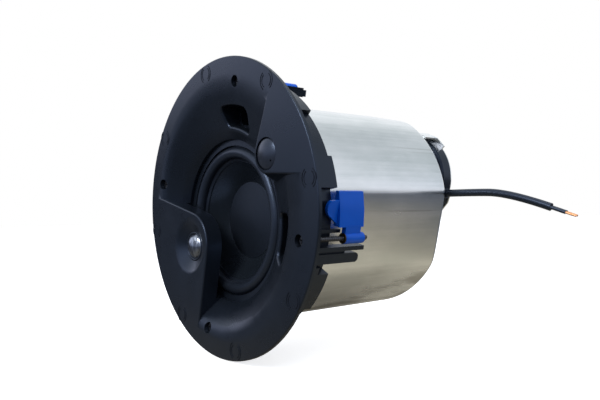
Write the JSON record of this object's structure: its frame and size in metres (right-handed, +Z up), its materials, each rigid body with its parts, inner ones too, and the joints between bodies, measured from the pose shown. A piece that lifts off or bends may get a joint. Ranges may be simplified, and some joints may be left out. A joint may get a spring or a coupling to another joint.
{
  "type": "in ceiling speaker",
  "caption": "Round flush-mount ceiling loudspeaker with sculpted front baffle, offset tweeter pod, ported woofer, steel back can and swing-out clamps.",
  "frame": {"origin": "centre of the flange's rear face, where the ceiling board meets it", "axes": "+Y along the speaker's axis from the front towards the back can, +Z up with the speaker lying on its side as pictured, +X right seen from the front"},
  "size_m": [0.3087, 0.1912, 0.235],
  "materials": {
    "baffle_plastic": "satin black moulded plastic",
    "board": "green circuit board",
    "brass": "turned brass",
    "cap_poly": "smooth black dust cap",
    "clamp_plastic": "blue moulded nylon",
    "cone_poly": "black cone",
    "copper": "copper winding and strands",
    "dome_metal": "bright metal dome",
    "ferrite": "ground ferrite",
    "foam": "soft foam and wadding",
    "former": "thin aluminium tube",
    "knob_plastic": "satin dark plastic",
    "motor_steel": "dark coated steel",
    "plated_steel": "zinc-plated sheet steel",
    "screw_steel": "plated steel screws",
    "spider_cloth": "resin-treated cloth",
    "surround_rubber": "black rubber",
    "tweeter_plastic": "black plastic"
  },
  "bodies": {
    "speaker": {"back_can": "plated_steel", "board_posts": "brass", "cable_grommet": "surround_rubber", "can_gasket": "foam", "can_screws": "screw_steel", "cover_screws": "screw_steel", "crossover_board": "board", "crossover_capacitor": "tweeter_plastic", "crossover_inductor": "copper", "damping_pad": "foam", "front_baffle": "baffle_plastic", "lead_cores": "surround_rubber", "lead_tips": "copper", "port_tube_1": "baffle_plastic", "port_tube_2": "baffle_plastic", "supply_lead": "surround_rubber", "tap_switch": "tweeter_plastic", "terminal_block": "tweeter_plastic", "terminal_cover": "plated_steel", "terminal_housing": "baffle_plastic", "transformer_bracket": "plated_steel", "transformer_coil": "copper", "transformer_core": "motor_steel", "tweeter_cup": "motor_steel", "tweeter_magnet": "ferrite", "tweeter_plate": "tweeter_plastic", "tweeter_screws": "screw_steel", "tweeter_surround": "surround_rubber", "woofer_frame": "motor_steel", "woofer_gasket": "foam", "woofer_magnet": "ferrite", "woofer_screws": "screw_steel", "woofer_spider": "spider_cloth", "woofer_surround": "surround_rubber", "woofer_top_plate": "motor_steel", "woofer_yoke": "motor_steel"},
    "clamp_screw_1_body": {"clamp_screw_1": "screw_steel"},
    "clamp_sleeve_1_body": {"clamp_sleeve_1": "brass"},
    "clamp_dog_1_body": {"clamp_dog_1": "clamp_plastic"},
    "clamp_screw_2_body": {"clamp_screw_2": "screw_steel"},
    "clamp_sleeve_2_body": {"clamp_sleeve_2": "brass"},
    "clamp_dog_2_body": {"clamp_dog_2": "clamp_plastic"},
    "clamp_screw_3_body": {"clamp_screw_3": "screw_steel"},
    "clamp_sleeve_3_body": {"clamp_sleeve_3": "brass"},
    "clamp_dog_3_body": {"clamp_dog_3": "clamp_plastic"},
    "clamp_screw_4_body": {"clamp_screw_4": "screw_steel"},
    "clamp_sleeve_4_body": {"clamp_sleeve_4": "brass"},
    "clamp_dog_4_body": {"clamp_dog_4": "clamp_plastic"},
    "woofer_diaphragm": {"woofer_cone": "cone_poly", "woofer_dust_cap": "cap_poly", "coil_former": "former", "voice_coil": "copper"},
    "tweeter_diaphragm": {"tweeter_dome": "dome_metal", "tweeter_coil": "copper"},
    "knob": {"tap_knob": "knob_plastic"}
  },
  "joints": [
    {"name": "clamp_1_draw", "type": "slide", "parent": "speaker", "child": "clamp_sleeve_1_body", "axis": [0, 1, 0], "range_m": [-0.018, 0]},
    {"name": "clamp_screw_1_turn", "type": "hinge", "parent": "speaker", "child": "clamp_screw_1_body", "pos_m": [0.09592, 0, -0.02303], "axis": [0, 1, 0], "range_deg": [0, 3241]},
    {"name": "clamp_1_swing", "type": "hinge", "parent": "clamp_sleeve_1_body", "child": "clamp_dog_1_body", "pos_m": [0.09592, 0, -0.02303], "axis": [0, 1, 0], "range_deg": [0, 90]},
    {"name": "clamp_2_draw", "type": "slide", "parent": "speaker", "child": "clamp_sleeve_2_body", "axis": [0, 1, 0], "range_m": [-0.018, 0]},
    {"name": "clamp_screw_2_turn", "type": "hinge", "parent": "speaker", "child": "clamp_screw_2_body", "pos_m": [0.02303, 0, 0.09592], "axis": [0, 1, 0], "range_deg": [0, 3241]},
    {"name": "clamp_2_swing", "type": "hinge", "parent": "clamp_sleeve_2_body", "child": "clamp_dog_2_body", "pos_m": [0.02303, 0, 0.09592], "axis": [0, 1, 0], "range_deg": [0, 90]},
    {"name": "clamp_3_draw", "type": "slide", "parent": "speaker", "child": "clamp_sleeve_3_body", "axis": [0, 1, 0], "range_m": [-0.018, 0]},
    {"name": "clamp_screw_3_turn", "type": "hinge", "parent": "speaker", "child": "clamp_screw_3_body", "pos_m": [-0.09592, 0, 0.02303], "axis": [0, 1, 0], "range_deg": [0, 3241]},
    {"name": "clamp_3_swing", "type": "hinge", "parent": "clamp_sleeve_3_body", "child": "clamp_dog_3_body", "pos_m": [-0.09592, 0, 0.02303], "axis": [0, 1, 0], "range_deg": [0, 90]},
    {"name": "clamp_4_draw", "type": "slide", "parent": "speaker", "child": "clamp_sleeve_4_body", "axis": [0, 1, 0], "range_m": [-0.018, 0]},
    {"name": "clamp_screw_4_turn", "type": "hinge", "parent": "speaker", "child": "clamp_screw_4_body", "pos_m": [-0.02303, 0, -0.09592], "axis": [0, 1, 0], "range_deg": [0, 3241]},
    {"name": "clamp_4_swing", "type": "hinge", "parent": "clamp_sleeve_4_body", "child": "clamp_dog_4_body", "pos_m": [-0.02303, 0, -0.09592], "axis": [0, 1, 0], "range_deg": [0, 90]},
    {"name": "cone_travel", "type": "slide", "parent": "speaker", "child": "woofer_diaphragm", "axis": [0, 1, 0], "range_m": [-0.003, 0.003], "stiffness_N_per_m": 1400, "deforming": ["woofer_surround", "woofer_spider"]},
    {"name": "dome_travel", "type": "slide", "parent": "speaker", "child": "tweeter_diaphragm", "axis": [0, 1, 0], "range_m": [-0.0003, 0.0003], "stiffness_N_per_m": 2000, "deforming": ["tweeter_surround"]},
    {"name": "tap_select", "type": "hinge", "parent": "speaker", "child": "knob", "pos_m": [0.06139, 0, 0.03762], "axis": [0, 1, 0], "range_deg": [0, 150]}
  ],
  "couplings": [
    {"joint": "clamp_screw_1_turn", "follows": "clamp_1_draw", "rad_per_m": -3141.6},
    {"joint": "clamp_screw_2_turn", "follows": "clamp_2_draw", "rad_per_m": -3141.6},
    {"joint": "clamp_screw_3_turn", "follows": "clamp_3_draw", "rad_per_m": -3141.6},
    {"joint": "clamp_screw_4_turn", "follows": "clamp_4_draw", "rad_per_m": -3141.6}
  ]
}
